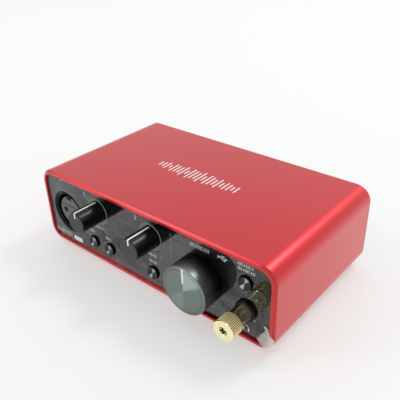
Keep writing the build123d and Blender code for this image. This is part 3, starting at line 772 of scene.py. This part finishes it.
knurl_gilt, knurl_shader, knurl_place = finish("knurl_gilt", (0.95, 0.84, 0.46), 0.5, Metallic=0.8)
drive(knurl_shader, Roughness=knurl_place.noise(2500) * 0.1 + 0.45)
# The floor of the knurl between the ribs is painted dark gilt, as painted shade between them.
shaded_groove_gilt, groove_shader, groove_place = finish(
    "shaded_groove_gilt", (0.12, 0.10, 0.03), 0.5, Metallic=0.6
)
drive(groove_shader, Roughness=groove_place.noise(3000) * 0.2 + 0.35)
lathe(
    "knurl_grooves",
    [(core_radius - 0.2 * MM, knurl_start), (core_radius, knurl_start), (core_radius, knurl_end),
     (core_radius - 0.2 * MM, knurl_end)],
    grip_x, grip_z, grip_face, shaded_groove_gilt, "adapter",
)


def node_tree(name, inputs):
    """An empty Geometry Nodes tree with the named inputs, its input node and its output node."""
    tree = bpy.data.node_groups.new(name, "GeometryNodeTree")
    for label, kind in inputs.items():
        tree.interface.new_socket(label, in_out="INPUT", socket_type=kind)
    tree.interface.new_socket("Geometry", in_out="OUTPUT", socket_type="NodeSocketGeometry")
    return tree, tree.nodes.new("NodeGroupInput"), tree.nodes.new("NodeGroupOutput")


def node_in(tree, kind, settings, inputs):
    """A node in a Geometry Nodes tree, with settings made and sockets set or linked."""
    made = tree.nodes.new(kind)
    for name, value in settings.items():
        setattr(made, name, value)
    for place, value in inputs.items():
        if isinstance(value, bpy.types.NodeSocket):
            tree.links.new(value, made.inputs[place])
        else:
            made.inputs[place].default_value = value
    return made


def baked(name, start_mesh, tree, values, body):
    """The plain mesh that a tree makes from a start mesh, as a piece that rides on a body."""
    holder = bpy.data.objects.new(name + "_maker", start_mesh)
    bpy.context.scene.collection.objects.link(holder)
    maker = holder.modifiers.new("maker", "NODES")
    maker.node_group = tree
    for item in tree.interface.items_tree:
        if item.in_out == "INPUT" and item.name in values:
            maker[item.identifier] = values[item.name]
    graph = bpy.context.evaluated_depsgraph_get()
    mesh = bpy.data.meshes.new_from_object(holder.evaluated_get(graph))
    bpy.data.objects.remove(holder)
    mesh.name = name
    piece = bpy.data.objects.new(name, mesh)
    bpy.context.scene.collection.objects.link(piece)
    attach(piece, body)
    return piece


# The knurl is rolled: straight ribs side by side round the grip, each a ridge along the axis.
rib_tree, rib_inputs, rib_output = node_tree("ribs_round_a_grip", {
    "Geometry": "NodeSocketGeometry",
    "Ribs": "NodeSocketInt",
    "Radius": "NodeSocketFloat",
    "Length": "NodeSocketFloat",
    "Width": "NodeSocketFloat",
    "Place": "NodeSocketVector",
    "Finish": "NodeSocketMaterial",
})
rib_circle = node_in(rib_tree, "GeometryNodeMeshCircle", {}, {
    "Vertices": rib_inputs.outputs["Ribs"],
    "Radius": rib_inputs.outputs["Radius"],
})
rib_shape = node_in(rib_tree, "GeometryNodeMeshCylinder", {}, {
    "Vertices": 8,
    "Radius": rib_inputs.outputs["Width"],
    "Depth": rib_inputs.outputs["Length"],
})
rib_copies = node_in(rib_tree, "GeometryNodeInstanceOnPoints", {}, {
    "Points": rib_circle.outputs["Mesh"],
    "Instance": rib_shape.outputs["Mesh"],
})
rib_turn = node_in(rib_tree, "GeometryNodeTransform", {}, {
    "Geometry": rib_copies.outputs["Instances"],
    "Translation": rib_inputs.outputs["Place"],
    "Rotation": (math.pi / 2, 0, 0),
})
rib_flat = node_in(rib_tree, "GeometryNodeSetShadeSmooth", {}, {
    "Geometry": rib_turn.outputs["Geometry"],
    "Shade Smooth": False,
})
rib_real = node_in(rib_tree, "GeometryNodeRealizeInstances", {}, {
    "Geometry": rib_flat.outputs["Geometry"],
})
rib_finish = node_in(rib_tree, "GeometryNodeSetMaterial", {}, {
    "Geometry": rib_real.outputs["Geometry"],
    "Material": rib_inputs.outputs["Finish"],
})
rib_tree.links.new(rib_finish.outputs["Geometry"], rib_output.inputs["Geometry"])

rib_width = 0.21 * MM
baked("grip_knurl", bpy.data.meshes.new("knurl_start"), rib_tree, {
    "Ribs": knurl_ribs,
    "Radius": grip_radius - rib_width,
    "Length": knurl_end - knurl_start,
    "Width": rib_width,
    "Place": (grip_x, grip_face + (knurl_start + knurl_end) / 2, grip_z),
    "Finish": knurl_gilt,
}, "adapter")

# Inside the small socket four sprung leaves of darker brass grip a plug.
leaf_brass, leaf_shader, leaf_place = finish("leaf_brass", (0.62, 0.52, 0.28), 0.35, Metallic=1.0)
drive(leaf_shader, Roughness=leaf_place.noise(3000) * 0.2 + 0.3)
leaf_radius = 0.5 * MM
leaf_offset = 1.3 * MM
leaf_depth = 0.45 * MM
leaf_end = 12 * MM
leaf_count = 4
leaf_turn = 55
for number in range(leaf_count):
    angle = math.radians(leaf_turn + 360 / leaf_count * number)
    lathe(
        "socket_leaf_" + str(number + 1),
        [(0.0, leaf_depth), (leaf_radius, leaf_depth), (leaf_radius, leaf_end), (0.0, leaf_end)],
        grip_x + leaf_offset * math.cos(angle), grip_z + leaf_offset * math.sin(angle),
        grip_face, leaf_brass, "adapter", closed=False,
    )
# A near-black sleeve lines the socket's bore behind the leaves: painted shade for the dark inside
# it.
socket_shade_black, dark_shader, dark_place = finish("socket_shade_black", (0.01, 0.009, 0.007), 0.6)
drive(dark_shader, Roughness=dark_place.noise(3000) * 0.2 + 0.5)
shade_sleeve_radius = socket_radius - 0.05 * MM
shade_sleeve_start = 0.6 * MM
shade_sleeve_floor = 11.9 * MM
shade_sleeve_end = 12.2 * MM
lathe(
    "socket_shade_sleeve",
    [(0.0, shade_sleeve_floor), (shade_sleeve_radius, shade_sleeve_floor), (shade_sleeve_radius, shade_sleeve_start),
     (socket_radius, shade_sleeve_start), (socket_radius, shade_sleeve_end), (0.0, shade_sleeve_end)],
    grip_x, grip_z, grip_face, socket_shade_black, "adapter", closed=False,
)
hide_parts("adapter_grip")

# ---------------------------------------------------------------- rear panel and feet
# The rear panel is steel with a fine black powder coat, held by four steel screws. The feet are
# moulded rubber.
powder, powder_shader, powder_place = finish("powder_black", (0.02, 0.02, 0.021), 0.55)
powder_grain = powder_place.noise(3000)
drive(powder_shader, Roughness=powder_grain * 0.15 + 0.45, Normal=powder_grain.bump(0.00002))
paint(powder, "rear_panel")
rubber, rubber_shader, rubber_place = finish("rubber_black", (0.018, 0.018, 0.018), 0.8)
rubber_grain = rubber_place.noise(2500)
drive(rubber_shader, Roughness=rubber_grain * 0.1 + 0.75, Normal=rubber_grain.bump(0.00002))
paint(rubber, "feet")
rear_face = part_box("rear_panel")[1].y
rear_zero = Vector((0, rear_face, 0))
rear_rows = {
    "rear_legend_left": {"middle": (-46.0, 29.0), "letters": 4, "height": 1.6, "pitch": 1.5},
    "rear_legend_right": {"middle": (-26.0, 29.0), "letters": 5, "height": 1.6, "pitch": 1.5},
    "rear_legend_outputs": {"middle": (-36.0, 33.4), "letters": 7, "height": 1.8, "pitch": 1.7},
    "rear_legend_data": {"middle": (14.0, 15.6), "letters": 3, "height": 1.6, "pitch": 1.5},
    "rear_legend_lock": {"middle": (48.0, 28.0), "letters": 1, "height": 1.8, "pitch": 1.8},
}
for name, row in rear_rows.items():
    printed(name, strokes(**row), ink_white, rear_zero, -RIGHT, UP)
bracket_path = spots((-36.0, 31.6), (-16.0, -1.0), (-16.0, 0), (16.0, 0), (16.0, -1.0))
bracket = line(bracket_path, stroke_width)
printed("rear_legend_bracket", bracket, ink_white, rear_zero, -RIGHT, UP)

steel, steel_shader, steel_place = finish("steel", (0.60, 0.60, 0.61), 0.3, Metallic=1.0)
drive(steel_shader, Roughness=steel_place.noise(2000) * 0.15 + 0.22)
paint(
    steel, "gain_shaft_1", "gain_shaft_2", "monitor_shaft", "gain_pot_1", "gain_pot_2",
    "monitor_pot", "usb_socket", "board_screws", "line_out_nuts", "jack_lugs",
)

# ---------------------------------------------------------------- rear screws
# Four black pan-head steel screws with a cross recess, driven through the rear panel into the
# sleeve's screw channels.
screw_black, screw_shader, screw_place = finish(
    "screw_black", (0.05, 0.05, 0.052), 0.35, Metallic=1.0
)
drive(screw_shader, Roughness=screw_place.noise(2500) * 0.15 + 0.28)
screw_low, screw_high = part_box("rear_screws")
head_radius = 2.3 * MM
head_height = screw_high.y - rear_face
shank_radius = 1.15 * MM
shank_end = screw_low.y - rear_face
recess_width = 0.55 * MM
recess_reach = 1.35 * MM
recess_depth = 0.45 * MM

screw_points = bpy.data.meshes.new("screw_points")
screw_points.from_pydata([
    (x, rear_face, z)
    for x in (screw_low.x + head_radius, screw_high.x - head_radius)
    for z in (screw_low.z + head_radius, screw_high.z - head_radius)
], [], [])

screw_tree, screw_inputs, screw_output = node_tree("screws_at_points", {
    "Geometry": "NodeSocketGeometry",
    "Head Radius": "NodeSocketFloat",
    "Head Height": "NodeSocketFloat",
    "Recess Width": "NodeSocketFloat",
    "Recess Reach": "NodeSocketFloat",
    "Recess Depth": "NodeSocketFloat",
    "Shank Radius": "NodeSocketFloat",
    "Shank Length": "NodeSocketFloat",
    "Finish": "NodeSocketMaterial",
})
head = node_in(screw_tree, "GeometryNodeMeshCylinder", {}, {
    "Vertices": 40,
    "Radius": screw_inputs.outputs["Head Radius"],
    "Depth": screw_inputs.outputs["Head Height"],
})
head_up = node_in(screw_tree, "GeometryNodeTransform", {}, {
    "Geometry": head.outputs["Mesh"],
    "Translation": (0, 0, head_height / 2),
})
recess_size = node_in(screw_tree, "ShaderNodeCombineXYZ", {}, {
    "X": screw_inputs.outputs["Recess Reach"],
    "Y": screw_inputs.outputs["Recess Width"],
    "Z": screw_inputs.outputs["Recess Depth"],
})
recess_bar = node_in(screw_tree, "GeometryNodeMeshCube", {}, {
    "Size": recess_size.outputs["Vector"],
})
taken_away = {"operation": "DIFFERENCE", "solver": "EXACT"}
cut = node_in(screw_tree, "GeometryNodeMeshBoolean", taken_away, {
    0: head_up.outputs["Geometry"],
})
for turn in (0, math.pi / 2):
    cutter = node_in(screw_tree, "GeometryNodeTransform", {}, {
        "Geometry": recess_bar.outputs["Mesh"],
        "Translation": (0, 0, head_height),
        "Rotation": (0, 0, turn),
    })
    screw_tree.links.new(cutter.outputs["Geometry"], cut.inputs[1])
shank = node_in(screw_tree, "GeometryNodeMeshCylinder", {}, {
    "Vertices": 24,
    "Radius": screw_inputs.outputs["Shank Radius"],
    "Depth": screw_inputs.outputs["Shank Length"],
})
shank_down = node_in(screw_tree, "GeometryNodeTransform", {}, {
    "Geometry": shank.outputs["Mesh"],
    "Translation": (0, 0, shank_end / 2),
})
whole = node_in(screw_tree, "GeometryNodeJoinGeometry", {}, {
    "Geometry": cut.outputs["Mesh"],
})
screw_tree.links.new(shank_down.outputs["Geometry"], whole.inputs["Geometry"])
screw_copies = node_in(screw_tree, "GeometryNodeInstanceOnPoints", {}, {
    "Points": screw_inputs.outputs["Geometry"],
    "Instance": whole.outputs["Geometry"],
    "Rotation": (-math.pi / 2, 0, 0),
})
screw_real = node_in(screw_tree, "GeometryNodeRealizeInstances", {}, {
    "Geometry": screw_copies.outputs["Instances"],
})
screw_finish = node_in(screw_tree, "GeometryNodeSetMaterial", {}, {
    "Geometry": screw_real.outputs["Geometry"],
    "Material": screw_inputs.outputs["Finish"],
})
screw_tree.links.new(screw_finish.outputs["Geometry"], screw_output.inputs["Geometry"])
rear_screw_heads = baked("rear_screw_heads", screw_points, screw_tree, {
    "Head Radius": head_radius,
    "Head Height": head_height,
    "Recess Width": recess_width,
    "Recess Reach": 2 * recess_reach,
    "Recess Depth": 2 * recess_depth,
    "Shank Radius": shank_radius,
    "Shank Length": -shank_end,
    "Finish": screw_black,
}, "case")
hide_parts("rear_screws")

# ---------------------------------------------------------------- boards and parts
# The two boards are glass fibre under a green mask. They carry black moulded chips, switches and
# sleeved capacitors, and a clear moulded rod that leads light to the panel's connection sign.
mask, mask_shader, mask_place = finish("solder_mask", (0.012, 0.07, 0.035), 0.35)
mask_thin = (0.010, 0.06, 0.03)
mask_thick = (0.016, 0.09, 0.045)
drive(mask_shader, Base_Color=mask_place.noise(400).blend(mask_thin, mask_thick))
paint(mask, "main_board", "front_board")
epoxy, epoxy_shader, epoxy_place = finish("epoxy_black", (0.02, 0.02, 0.022), 0.5)
drive(epoxy_shader, Roughness=epoxy_place.noise(3000) * 0.2 + 0.4)
paint(
    epoxy, "board_chips", "capacitors", "board_header", "phantom_switch", "tone_switch",
    "instrument_switch", "direct_switch",
)
clear_rod, clear_shader, clear_place = finish(
    "light_pipe", (0.85, 0.88, 0.88), 0.1, Transmission_Weight=1.0
)
drive(clear_shader, Roughness=clear_place.noise(2000) * 0.1 + 0.05)
paint(clear_rod, "status_light_pipe")
